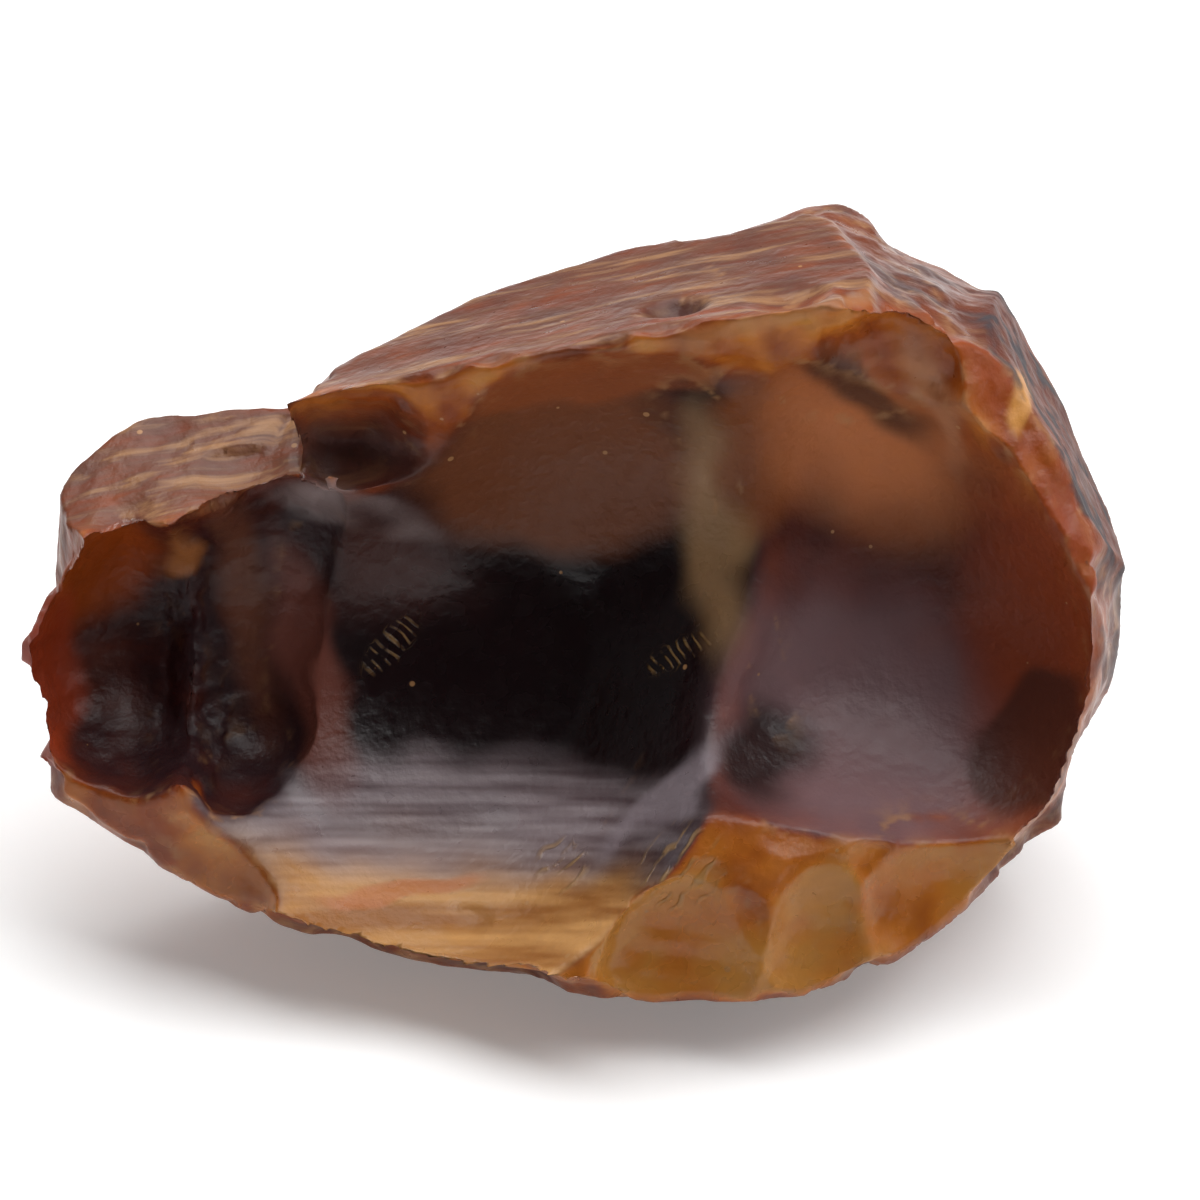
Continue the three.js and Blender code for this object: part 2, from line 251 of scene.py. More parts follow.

# Zones of colour inside the stone, and zones of painted light, shade, sheen and reflection on it:
# middle and half size on the face in mm, turn in degrees, how much of the half size the edge fades
# over, colour, how strongly it shows, and the surfaces that it is on. A zone with bands has two colours.
ZONES = {
    # Painted reflection: the brown shine on the main hollow's upper wall
    "brown_shelf_reflection": dict(
        at=(-1.6, 5.6), half=(6.4, 3.6), turn=0, soft=0.5, colour="#80482A", share=0.9,
        on=("mainHollow", "besideHollow"),
    ),
    "green_vein": dict(
        at=(4.9, 3.0), half=(1.4, 4.6), turn=4, soft=1.0, colour="#BE9468", share=0.7,
        on=("mainHollow", "rightHollow"),
    ),
    "amber_wedge": dict(
        at=(7.2, 7.0), half=(2.2, 3.6), turn=-8, soft=0.6, colour="#8A481B", share=0.85,
        on=("mainHollow", "rightHollow"),
    ),
    # Painted light: a copper patch of light on the right hollow's upper wall
    "copper_light_patch": dict(
        at=(11.8, 6.4), half=(4.2, 2.7), turn=-28, soft=1.5, colour="#D8824C", share=0.9,
        on=("rightHollow", "browCorner"),
    ),
    # Painted sheen: the hazy mauve highlight across the right hollow
    "painted_mauve_sheen": dict(
        at=(11.6, -5.2), half=(6.4, 5.4), turn=-20, soft=1.0, colour="#8E7276", share=0.75,
        on=("rightHollow",),
    ),
    "red_side": dict(
        at=(20.2, -3.0), half=(3.6, 8.5), turn=8, soft=0.8, colour="#96401E", share=0.85,
        on=("rightHollow", "browRight"),
    ),
    "gold_bands": dict(
        at=(-6.0, -14.6), half=(14.0, 3.9), turn=-7, soft=0.8, colour="#E8AC6A", bands="#B0723A",
        share=0.9, on=("mainHollow", "besideHollow"),
    ),
    "orange_sliver": dict(
        at=(-8.6, -12.6), half=(3.3, 0.5), turn=8, soft=0.5, colour="#CC7D4A", share=0.8,
        on=("mainHollow", "besideHollow"),
    ),
    # Painted glow of light through the lobe's thin upper left rim
    "lobe_glow": dict(
        at=(-22.2, 1.4), half=(3.0, 1.8), turn=35, soft=0.9, colour="#9A430F", share=0.85,
        on=("lobeLeft",),
    ),
    "lobe_ridge": dict(
        at=(-15.6, 0.2), half=(0.9, 4.6), turn=8, soft=1.5, colour="#8A5238", share=0.5,
        on=("lobeLeft", "lobeRight"),
    ),
    "lobe_fleck": dict(
        at=(-18.4, 2.0), half=(0.9, 0.6), turn=30, soft=1.0, colour="#B4703C", share=0.7,
        on=("lobeLeft", "lobeRight"),
    ),
    "red_tip": dict(
        at=(-24.4, -3.4), half=(1.5, 4.0), turn=0, soft=0.8, colour="#98381A", share=0.85,
        on=("lobeLeft", "lobeTop", "lobeBelow", "backLeft", "backLeftShell", "underLeft"),
    ),
    # Partly a milky haze in the stone and partly a painted reflection across the hollow's lower wall
    "milky_and_reflection_band": dict(
        at=(-7.0, -9.4), half=(10.2, 2.5), turn=-2, soft=0.9, colour="#BCAEB2", bands="#7A686C",
        share=0.8, on=("mainHollow", "besideHollow"),
    ),
    # Partly a milky streak and partly a painted highlight along the ridge below the right hollow
    "milky_and_highlight_tail": dict(
        at=(3.1, -8.2), half=(3.4, 0.7), turn=44, soft=1.0, colour="#A2959C", share=0.65,
        on=("mainHollow", "rightHollow"),
    ),
    # Painted glow of light through the thin lip
    "under_lip": dict(
        at=(-2.0, 9.5), half=(9.0, 1.2), turn=5, soft=0.6, colour="#98502A", share=0.85,
        on=("mainHollow", "besideHollow"),
    ),
    # Painted shadow under the right brow
    "painted_shadow_under_brow": dict(
        at=(11.2, 9.0), half=(3.4, 0.7), turn=-30, soft=1.0, colour="#1E0E0C", share=0.75,
        on=("rightHollow", "browCorner", "mainHollow"),
    ),
    # Painted shade of a dimple in the right hollow
    "painted_dimple_shade": dict(
        at=(7.3, -6.4), half=(2.3, 2.0), turn=30, soft=0.9, colour="#1C0D0C", share=0.9,
        on=("rightHollow",),
    ),
    "brown_window": dict(
        at=(18.6, -6.3), half=(2.0, 3.2), turn=-24, soft=0.3, colour="#3E211A", share=0.75,
        on=("rightHollow",),
    ),
    "lip_crest": dict(
        at=(8.2, 12.1), half=(6.4, 0.4), turn=13, soft=1.0, colour="#C88C5A", share=0.5,
        on=("brow", "top", "browCorner"),
    ),
    "pale_fold": dict(
        at=(14.6, 8.9), half=(0.6, 2.9), turn=24, soft=1.0, colour="#C8906A", share=0.5,
        on=("brow", "browRight", "browCorner", "rightHollow"),
    ),
    "deep_orange": dict(
        at=(16.5, 10.2), half=(1.6, 2.4), turn=20, soft=0.6, colour="#98410F", share=0.8,
        on=("browRight", "browCorner"),
    ),
    "bright_fleck": dict(
        at=(17.9, 8.6), half=(0.4, 1.3), turn=-4, soft=0.7, colour="#E2A050", share=0.8,
        on=("browRight", "right"),
    ),
    "corner_orange": dict(
        at=(11.6, 16.6), half=(2.4, 1.2), turn=-16, soft=0.6, colour="#A65418", share=0.85,
        on=("top", "right", "browRight"),
    ),
    "shoulder": dict(
        at=(-11.2, 6.0), half=(2.4, 1.6), turn=-10, soft=1.2, colour="#70504C", share=0.7,
        on=("underTheLip",),
    ),
    "red_depth": dict(
        at=(-9.6, 1.6), half=(3.4, 2.2), turn=-10, soft=1.4, colour="#4A221C", share=0.75,
        on=("mainHollow", "besideHollow"),
    ),
    # Painted highlight along the top of the spur
    "painted_spur_highlight": dict(
        at=(-10.8, 4.0), half=(3.2, 0.7), turn=-14, soft=1.0, colour="#A2908E", share=0.75,
        on=("underTheLip", "lobeRight", "mainHollow"),
    ),
    "red_crescent": dict(
        at=(-12.6, -3.0), half=(1.4, 5.2), turn=14, soft=0.8, colour="#7C463A", share=0.85,
        on=("mainHollow", "besideHollow", "lobeRight"),
    ),
}

BANDED = [name for name, zone in ZONES.items() if "bands" in zone]

# How far the zones' outlines wander, and over what distance, in mm
ZONE_WANDER, ZONE_WANDER_OVER = 0.8, 2.5

# How the flow bands and the skin's striae are drawn out, per mm, and their turn on the face
FLOW = dict(scale=(0.08, 1.2, 0.2), turn=math.radians(5))
STRIAE = dict(scale=(0.04, 0.8, 1.5), turn=math.radians(-12))

# What is left of light that goes through the stone, and how fast it fades, per metre
AMBER_GLASS = (0.88, 0.47, 0.03, 1.0)
AMBER_DENSITY = 1200.0

# Opal bends light less than quartz does, and its broken skin has a weak sheen
OPAL_IOR = 1.45
SHEEN = 0.28

# How deep the fine grain of the skin is
GRAIN_DEPTH = 0.12 * MM

# One seed for each kind of unevenness
SEEDS = dict(
    zone_u=21, zone_v=22, mottle=31, crumbs=33, weather=35, matt=37, splinters=39, gaps=41, teeth=43,
    wall_shells=91, wall_bumps=92, chips=7,
)

# Whole numbers that scramble a grid cell's place into a fixed random number
CELL_SCRAMBLE = (374761393, 668265263, 2147483647)
SEED_SCRAMBLE = 974634777
LAST_SCRAMBLE = 1274126177
LOW_32_BITS = 0xFFFFFFFF
LOW_10_BITS = 1023

# Combs of short pale cracks: middle on the face in mm, turn in degrees, half length along the
# comb, half width, and the cracks' spacing
COMBS = {
    "left_comb": dict(at=(-9.2, -2.0), turn=48, half=(2.0, 0.75), spacing=0.42),
    "middle_comb": dict(at=(3.4, -2.3), turn=28, half=(2.1, 0.6), spacing=0.4),
    "low_comb": dict(at=(3.5, -11.4), turn=140, half=(2.0, 2.3), spacing=0.62),
    "band_comb": dict(at=(-1.7, -11.5), turn=130, half=(1.4, 1.3), spacing=0.6),
}

# The lights, in metres and watts, and the floor's own glow
SOFT_BOXES = {
    "overhead_soft_box": dict(place=(0.07, 0.11, 0.42), size=(0.78, 0.40), power=3.3),
    "right_soft_box": dict(place=(0.42, 0.02, 0.26), size=(0.34, 0.30), power=0.35),
}
FLOOR_GLOW = 0.2

# The room's light along Y, from in front of the stone to behind it
ROOM_DIM, ROOM_PALE = 0.06, 0.42
ROOM_FROM, ROOM_TO = -0.35, 0.5

SENSOR_MM = 36


def linear(hex_colour):
    """An sRGB hex colour as linear RGBA."""
    values = [int(hex_colour[i:i + 2], 16) / 255 for i in (1, 3, 5)]
    return [v / 12.92 if v <= 0.04045 else ((v + 0.055) / 1.055) ** 2.4 for v in values] + [1.0]


class OpalStoneSizes(bpy.types.PropertyGroup):
    """Sizes of the stone's finished surface."""

    mesh_grain: FloatProperty(
        name="Mesh grain", description="Distance between the points of the surface",
        default=0.25 * MM, min=0.1 * MM, unit="LENGTH", precision=5,
    )
    ridge_round: FloatProperty(
        name="Ridge rounding", description="How wide a ridge is rounded",
        default=0.12 * MM, min=0.01 * MM, unit="LENGTH", precision=5,
    )
    see_through: FloatProperty(
        name="See-through depth", description="Depth at which the glow has faded to a third",
        default=3.2 * MM, min=0.5 * MM, unit="LENGTH", precision=5,
    )


class OpalStoneColours(bpy.types.PropertyGroup):
    """Colours of the stone."""

    deep: FloatVectorProperty(
        name="Deep", description="Where the stone is thick", subtype="COLOR", size=4,
        default=linear("#0D0709"),
    )
    purple: FloatVectorProperty(
        name="Purple", description="Where a little light comes through", subtype="COLOR", size=4,
        default=linear("#2B1518"),
    )
    red: FloatVectorProperty(
        name="Red", description="Deep in the broken edges", subtype="COLOR", size=4,
        default=linear("#5E2410"),
    )
    orange: FloatVectorProperty(
        name="Orange", description="Along the broken edges", subtype="COLOR", size=4,
        default=linear("#964410"),
    )
    amber: FloatVectorProperty(
        name="Amber", description="In the thin lower right", subtype="COLOR", size=4,
        default=linear("#C87426"),
    )
    honey: FloatVectorProperty(
        name="Honey", description="Where the stone is thinnest", subtype="COLOR", size=4,
        default=linear("#D08C3E"),
    )
    veil: FloatVectorProperty(
        name="Veil", description="The milky skin of the older breaks", subtype="COLOR", size=4,
        default=linear("#6C4A3A"),
    )
    rind: FloatVectorProperty(
        name="Rind", description="The weathered outside", subtype="COLOR", size=4,
        default=linear("#3C4147"),
    )
    bruise: FloatVectorProperty(
        name="Bruise", description="Crushed opal on edges and streaks", subtype="COLOR", size=4,
        default=linear("#C08E5E"),
    )
    crack: FloatVectorProperty(
        name="Crack", description="The combs of short cracks", subtype="COLOR", size=4,
        default=linear("#B08A58"),
    )


class OpalStageSizes(bpy.types.PropertyGroup):
    """Sizes of the stage."""

    camera_distance: FloatProperty(
        name="Camera distance", description="From the camera to the middle of the face",
        default=0.320, unit="LENGTH",
    )
    camera_height: FloatProperty(
        name="Camera angle", description="How far above the horizon the camera stands",
        default=LOOK_UP, subtype="ANGLE",
    )
    floor_span: FloatProperty(
        name="Floor", description="Width of the floor", default=3.0, unit="LENGTH",
    )


def to_face(points):
    """Points in metres as u, v, w in millimetres."""
    p = points / MM - np.array(FACE_AT)
    s, c = math.sin(LOOK_UP), math.cos(LOOK_UP)
    return np.stack([p[:, 0], p[:, 1] * s + p[:, 2] * c, -p[:, 1] * c + p[:, 2] * s], 1)


def from_face(p):
    """Points in the face's millimetres as metres in the frame."""
    s, c = math.sin(LOOK_UP), math.cos(LOOK_UP)
    out = np.stack([p[:, 0], p[:, 1] * s - p[:, 2] * c, p[:, 1] * c + p[:, 2] * s], 1)
    return (out + np.array(FACE_AT)) * MM


def scrambled(cell, seed):
    """A fixed random whole number for each cell of a grid."""
    u, v, w = (cell[:, axis] * CELL_SCRAMBLE[axis] for axis in range(3))
    h = (u + v + w + seed * SEED_SCRAMBLE) & LOW_32_BITS
    h = ((h ^ (h >> 13)) * LAST_SCRAMBLE) & LOW_32_BITS
    h ^= h >> 16
    return np.stack([h & LOW_10_BITS, h >> 10 & LOW_10_BITS, h >> 20 & LOW_10_BITS], 1)


def noise(points, seed):
    """Smooth gradient noise from about -1 to 1, with a feature about every unit."""
    cell = np.floor(points).astype(np.int64)
    f = points - cell
    fade = f * f * f * (f * (f * 6 - 15) + 10)
    total = np.zeros(len(points))
    for corner in np.ndindex(2, 2, 2):
        step = np.array(corner[::-1])
        gradient = scrambled(cell + step, seed) / (LOW_10_BITS / 2) - 1
        weight = np.prod(np.where(step == 1, fade, 1 - fade), 1)
        total += weight * np.einsum("ij,ij->i", gradient, f - step)
    return total * 1.4


def rough(points, seed, octaves=3):
    """Several sizes of noise, each half as large and twice as fine as the last."""
    return sum(noise(points * 2 ** k, seed + 17 * k) / 2 ** k for k in range(octaves))


def own_axes(out):
    """The two directions along a bite and the way that it opens."""
    n = np.array(out, float)
    n /= np.linalg.norm(n)
    along = np.array([1.0, 0, 0]) - n * n[0]
    along /= np.linalg.norm(along)
    return along, np.cross(n, along), n


def reach_at(reach, turn):
    """A closed run of radii as one smooth curve."""
    n = len(reach)
    radii = np.asarray(reach, float)
    t = (turn / (2 * math.pi) * n + n) % n
    i = np.floor(t).astype(int)
    f = t - i
    a, b, c, d = (radii[(i + k + n) % n] for k in (-1, 0, 1, 2))
    before = a * (1 - f) ** 3 + b * (3 * f ** 3 - 6 * f ** 2 + 4)
    after = c * (-3 * f ** 3 + 3 * f ** 2 + 3 * f + 1) + d * f ** 3
    return (before + after) / 6


def seed_of(name):
    """A seed that belongs to a surface's name."""
    return sum(ord(letter) for letter in name)


def bite_depth(name, p):
    """How far inside a bite each point is, in mm; the bite's own surface is at 0."""
    is_scar = name in SCARS
    bite = SCARS[name] if is_scar else BREAKS[name]
    axes = own_axes(bite["out"])
    d = p - np.array(bite["at"])
    x, y, z = (d @ axis for axis in axes)
    if not is_scar:
        depth = z - bite["bend"][0] * x * x - bite["bend"][1] * y * y
        inside = (np.abs(x) < bite["span"][0] / 2) & (np.abs(y) < bite["span"][1] / 2)
        return np.where(inside, depth, OUT_OF_SPAN)
    turn = np.arctan2(y, x)
    rib = RIBS.get(name, 0.0) * sum(np.sin(k * turn + seed_of(name) * k) * 3 / k for k in RIB_WAVES)
    edge = reach_at(bite["reach"], turn) * (1 + rib)
    share = np.hypot(x, y) / edge
    deep = bite["depth"]
    low = deep * (1 - np.sqrt(np.clip(1 - share ** 2, 0, 1)))
    high = deep + CUT_REACH * (share - 1) / FLARE
    depth = z - np.where(share < 1, low, high)
    bowl_slope = deep * share / np.sqrt(np.clip(1 - share ** 2, 0.01, 1)) / edge
    wall_slope = CUT_REACH / FLARE / edge
    slope = np.where(share < 0.995, bowl_slope, wall_slope)
    return depth / np.sqrt(1 + slope ** 2)


def scallops(points, seed):
    """Overlapping shallow bowls about one unit wide, from 0 at their rims to 1 in their middles."""
    cell = np.floor(points).astype(np.int64)
    nearest = np.full(len(points), 9.0)
    for step in np.ndindex(3, 3, 3):
        c = cell + np.array(step) - 1
        jitter = scrambled(c, seed) / LOW_10_BITS
        nearest = np.minimum(nearest, np.sum((c + jitter - points) ** 2, 1))
    return np.clip(1 - nearest, 0, 1)


def look_of(name):
    """How a surface looks and how it broke."""
    return SURFACES.get(name, ELSEWHERE)


def relief(name, p):
    """The small forms of one broken surface, in mm; above 0 they go into the stone."""
    way = look_of(name)["broke"]
    family = SAME_BREAK.get(name, name)
    seed = seed_of(family)
    u, v, w = p.T
    height = way["wander"] * rough(p / 5.0, seed, 2)
    if way["chips"]:
        bent = p + 1.1 * noise(p / 2.3, seed + 3)[:, None]
        height = height + way["chips"] * (scallops(bent / way["chip"], seed) - 0.5)
        height = height + way["chips"] * 0.25 * noise(p / 0.7, seed + 4)
    if way["ripple"]:
        bite = SCARS.get(name) or BREAKS[name]
        beside = np.array(bite["at"]) + own_axes(bite["out"])[1] * 8
        away = np.linalg.norm(p - np.array(STRUCK.get(family, beside)), axis=1)
        away = away + 0.7 * noise(p / 4.0, seed + 5)
        patch = np.clip(0.45 + 0.9 * noise(p / 5.0, seed + 9), 0, 1)
        height = height + way["ripple"] * patch * np.sin(away * 2 * math.pi / way["spacing"])
    if way is SPLINTERED:
        drawn = np.stack([u / 1.1 + v / 5, v / 4.5, w / 4.5], 1)
        height = height + way["streak"] * (0.6 - 2.0 * np.abs(rough(drawn, seed + 7, 2)))
    elif way["streak"]:
        drawn = np.stack([u / 9, v / 1.3, w / 1.3], 1)
        height = height + way["streak"] * rough(drawn, seed + 7, 2)
    if name in ("lobeLeft", "lobeRight"):
        near = np.exp(-((u - LOBE_FOLD["at"]) / LOBE_FOLD["half"]) ** 2)
        height = height + LOBE_FOLD["high"] * rough(p / LOBE_FOLD["grain"], seed + 11, 2) * near
    return height


def depths_with_relief(p):
    """Every bite's depth at every point; those that come close also have their small forms."""
    depth = np.array([bite_depth(name, p) for name in NAMES])
    top = depth.max(0)
    for i, name in enumerate(NAMES):
        close = (depth[i] > top - 2.0) & (top > -1.3)
        if close.any():
            depth[i, close] += relief(name, p[close])
    return depth


def rounded_bites(p, sizes):
    """The two deepest bites at each point, how far they blend, the depth in what they leave, how
    far apart they are and how wide their ridge is rounded."""
    rows = np.arange(len(p))
    depth = depths_with_relief(p)
    order = np.argsort(depth, 0)
    first, second = order[-1], order[-2]
    top = depth[first, rows]
    gap = top - depth[second, rows]
    width = np.full(len(p), sizes.ridge_round / MM)
    share = np.clip(1 - gap / (2 * width), 0, 1)
    level = top + 0.5 * width * share ** 2
    for pair, wide in SOFT_RIDGES.items():
        one, other = (NAMES.index(name) for name in pair)
        apart = np.abs(depth[one] - depth[other])
        near = np.clip(1 - apart / (2 * wide), 0, 1)
        raised = np.maximum(depth[one], depth[other]) + 0.5 * wide * near ** 2
        softer = raised > level
        one_first = depth[one] > depth[other]
        first = np.where(softer, np.where(one_first, one, other), first)
        second = np.where(softer, np.where(one_first, other, one), second)
        gap, share = np.where(softer, apart, gap), np.where(softer, near, share)
        level, width = np.where(softer, raised, level), np.where(softer, wide, width)
    return first, second, 0.5 * share, level, gap, width


def settle_on_bites(p, sizes):
    """Moves the mesh's points on to the bites' true surfaces, with their small forms."""
    probe, longest_step = 0.02, 0.35
    for _ in range(4):
        first, second, blend, level, _, _ = rounded_bites(p, sizes)
        slope = np.zeros_like(p)
        for i, name in enumerate(NAMES):
            for pick, weight in ((first, 1 - blend), (second, blend)):
                mine = pick == i
                if not mine.any():
                    continue
                q = p[mine]
                base = bite_depth(name, q)
                for axis in range(3):
                    moved = q.copy()
                    moved[:, axis] += probe
                    slope[mine, axis] += (bite_depth(name, moved) - base) / probe * weight[mine]
        size = np.maximum(np.linalg.norm(slope, axis=1), 0.5)
        near = np.clip((level + 0.7) / 0.35, 0, 1)
        step = np.clip(-level / size, -longest_step, longest_step) * near
        p = p + slope / size[:, None] * step[:, None]
    first, _, _, level, gap, width = rounded_bites(p, sizes)
    face = np.where(level > -0.5, first, len(NAMES))
    return p, face, gap, width


def chip_ridges(p, normals, edge, crisp):
    """Small shells knocked out along the ridges."""
    chips = RIDGE_CHIPS
    dice = np.random.default_rng(SEEDS["chips"])
    tree = KDTree(len(p))
    for i, place in enumerate(p):
        tree.insert(place, i)
    tree.balance()
    on_ridge = np.flatnonzero((edge < chips["near"]) & crisp & (p[:, 2] > chips["back"]))
    for i in dice.choice(on_ridge, chips["count"], replace=False):
        radius = dice.uniform(*chips["radius"])
        deep = dice.uniform(*chips["deep"])
        out = normals[i] + dice.normal(0, chips["stray"], 3)
        out /= np.linalg.norm(out)
        middle = p[i] + out * (radius - deep)
        near = np.array([k for _, k, _ in tree.find_range(Vector(p[i]), chips["reach"])])
        away = p[near] - middle
        size = np.linalg.norm(away, axis=1)
        push = np.maximum(radius - size, 0)
        if push.max() < 1.6 * deep and size.min() > 0.5:
            p[near] += away * (push / size)[:, None]
    return p


def fine_copy(node, sizes):
    """A closed copy of a solid with evenly spaced points."""
    mesh = node.data.copy()
    stone = bpy.data.objects.new("fire_opal_surface", mesh)
    bpy.context.scene.collection.objects.link(stone)
    remesh = stone.modifiers.new("Even points", "REMESH")
    remesh.mode = "VOXEL"
    remesh.voxel_size = sizes.mesh_grain
    remesh.use_smooth_shade = True
    seen = bpy.context.evaluated_depsgraph_get()
    fine = bpy.data.meshes.new_from_object(stone.evaluated_get(seen))
    stone.modifiers.clear()
    stone.data = fine
    return stone


def points_of(mesh):
    """The mesh's points, in metres."""
    values = np.empty(len(mesh.vertices) * 3)
    mesh.vertices.foreach_get("co", values)
    return values.reshape(-1, 3)


def normals_of(mesh):
    """The way that the surface faces at each point."""
    values = np.empty(len(mesh.vertices) * 3)
    mesh.vertices.foreach_get("normal", values)
    return values.reshape(-1, 3)


def neighbours_mean(mesh, values, times, share=0.6):
    """Values evened out along the mesh's edges."""
    ends = np.empty(len(mesh.edges) * 2, np.int64)
    mesh.edges.foreach_get("vertices", ends)
    a, b = ends.reshape(-1, 2).T
    count = np.bincount(np.concatenate([a, b]), minlength=len(values))
    for _ in range(times):
        total = np.bincount(a, values[b], len(values)) + np.bincount(b, values[a], len(values))
        values = values + share * (total / count - values)
    return values


def evened(mesh, p, times, share):
    """Points drawn towards their neighbours' mean."""
    return np.stack([neighbours_mean(mesh, p[:, axis], times, share) for axis in range(3)], 1)


def light_through(mesh, sizes):
    """How much light reaches each point from behind, through the stone, from 0 to 1."""
    tree = BVHTree.FromPolygons(
        [v.co for v in mesh.vertices], [p.vertices for p in mesh.polygons], epsilon=0.0,
    )
    places, normals = points_of(mesh), normals_of(mesh)
    cone, turns = math.radians(38), 5
    start_in, far_off = 0.06 * MM, 0.05
    light = np.zeros(len(places))
    for i, (place, normal) in enumerate(zip(places, normals)):
        inward = -Vector(normal)
        side = inward.orthogonal().normalized()
        other = inward.cross(side)
        start = Vector(place) + inward * start_in
        total = 0.0
        for k in range(turns + 1):
            if k == turns:
                way = inward
            else:
                angle = 2 * math.pi * (k + 0.37 * (i % 7)) / turns
                around = side * math.cos(angle) + other * math.sin(angle)
                way = inward * math.cos(cone) + around * math.sin(cone)
            hit, out, _, far = tree.ray_cast(start, way, far_off)
            if hit is None:
                continue
            sky = 0.35 + 0.65 * max(0.0, out.z)
            total += sky * math.exp(-far / sizes.see_through)
        light[i] = total / (turns + 1)
    return light


def keep(mesh, name, values):
    """Keeps one number for each point, for the material to read."""
    layer = mesh.attributes.new(name, "FLOAT", "POINT")
    layer.data.foreach_set("value", np.asarray(values, np.float32))


def ease(value):
    """0 to 1 with a soft start and end."""
    value = np.clip(value, 0, 1)
    return value * value * (3 - 2 * value)


def across(p, place):
    """Each point's place along and across a form on the face, in its half sizes."""
    turn = math.radians(place["turn"])
    u, v = p[:, 0] - place["at"][0], p[:, 1] - place["at"][1]
    along = u * math.cos(turn) + v * math.sin(turn)
    over = v * math.cos(turn) - u * math.sin(turn)
    return along / place["half"][0], over / place["half"][1]


def keep_colour(mesh, name, colours):
    """Keeps one colour for each point, for the material to read."""
    layer = mesh.attributes.new(name, "FLOAT_COLOR", "POINT")
    full = np.ones((len(colours), 4), np.float32)
    full[:, :3] = colours
    layer.data.foreach_set("color", full.ravel())


def shape_stone(mesh, sizes):
    """Gives the mesh its broken surface, and tells what is known of each of its points."""
    p, face, edge, width = settle_on_bites(to_face(points_of(mesh)), sizes)
    crisp = width <= sizes.ridge_round / MM
    fold = neighbours_mean(mesh, (width > FOLD_FROM).astype(float), 4)
    p = evened(mesh, p, 5, 0.75 * np.exp(-edge / 0.28) * crisp)
    p = evened(mesh, p, 30, 0.8 * fold)
    main, right = NAMES.index("mainHollow"), NAMES.index("rightHollow")
    face = np.where((face == main) & (p[:, 0] > RIGHT_LOOK_FROM), right, face)
    mesh.vertices.foreach_set("co", from_face(p).ravel())
    mesh.update()
    turned = to_face(normals_of(mesh) * MM + np.array(FACE_AT) * MM)
    wall = neighbours_mean(mesh, (face == len(NAMES)).astype(float), 8)
    p = evened(mesh, p, 12, 0.7 * wall)
    shells = WALL_SHELL["high"] * (scallops(p / WALL_SHELL["wide"], SEEDS["wall_shells"]) - 0.4)
    bumps = shells + WALL_BUMP["high"] * rough(p / WALL_BUMP["wide"], SEEDS["wall_bumps"], 2)
    p = p - turned * (wall * bumps)[:, None]
    p = chip_ridges(p, turned, edge, crisp)
    for _ in range(6):
        middle = evened(mesh, p, 1, 1.0)
        spike = ease((np.linalg.norm(p - middle, axis=1) - 0.12) / 0.1)
        p = p + (middle - p) * spike[:, None]
    place = from_face(p)
    place[:, 2] = np.maximum(place[:, 2], 0)
    mesh.vertices.foreach_set("co", place.ravel())
    mesh.update()
    return SimpleNamespace(p=p, face=face, edge=edge, crisp=crisp, fold=fold, turned=turned, wall=wall)


def softened(mesh, values, at):
    """Values evened out, and further across the soft folds."""
    return neighbours_mean(mesh, neighbours_mean(mesh, values, 3), 20, 0.7 * at.fold)


def per_surface(mesh, key, at):
    """One of the looks of the surface that each point is on."""
    values = np.array([look_of(name)[key] for name in NAMES] + [ELSEWHERE[key]], float)
    return softened(mesh, values[at.face], at)


def on(mesh, names, at):
    """1 on the named surfaces and 0 off them, with a soft border."""
    mask = np.isin(at.face, [NAMES.index(name) for name in names]).astype(float)
    return softened(mesh, mask, at)


def keep_body(mesh, at, sizes):
    """Keeps how dark each point is, lifted by painted glow of light through the stone, and how rough,
    veiled, clear, bruised and weathered it is.
    """
    p = at.p
    u, v, w = p.T
    glow = neighbours_mean(mesh, light_through(mesh, sizes), 4)
    crumbs = ease((rough(p / 0.9, SEEDS["crumbs"], 3) + 0.05) * 3)
    keep(mesh, "bruised", np.exp(-at.edge / 0.3) * at.crisp * crumbs)
    for key in ("veil", "clear"):
        keep(mesh, key, per_surface(mesh, key, at))

    splinters = on(mesh, ("brow", "browRight", "browCorner"), at)
    folded = np.stack([u / 1.7 + v / 4, v / 5, w / 5], 1)
    # Painted light: the glow through the stone, strongest where it leaves facing up, lightens the tone
    tone = per_surface(mesh, "tone", at) + per_surface(mesh, "lit", at) * np.clip(glow * 2.2, 0, 1)
    tone = tone * (1 + 0.3 * rough(p / 2.6, SEEDS["mottle"], 4))
    keep(mesh, "tone", tone + 0.22 * splinters * rough(folded, SEEDS["splinters"], 2))

    low = on(mesh, ("mainHollow",), at) * ease((-3.5 - v) / 3)
    high = on(mesh, ("mainHollow", "rightHollow"), at) * ease((v - 0.5) / 3)
    matt = per_surface(mesh, "matt", at) + 0.08 * low + 0.2 * high
    keep(mesh, "matt", np.maximum(matt + 0.12 * rough(p / 0.8, SEEDS["matt"], 3), 0.07))

    drawn = np.stack([u / 3.2, v / 1.8, w / 1.8], 1)
    weathered = ease((rough(drawn, SEEDS["weather"], 4) + 0.05) * 3)
    rind = np.clip(on(mesh, ("right", "backRight", "rightShell"), at) + 0.6 * at.wall, 0, 1)
    keep(mesh, "rind", rind * weathered)


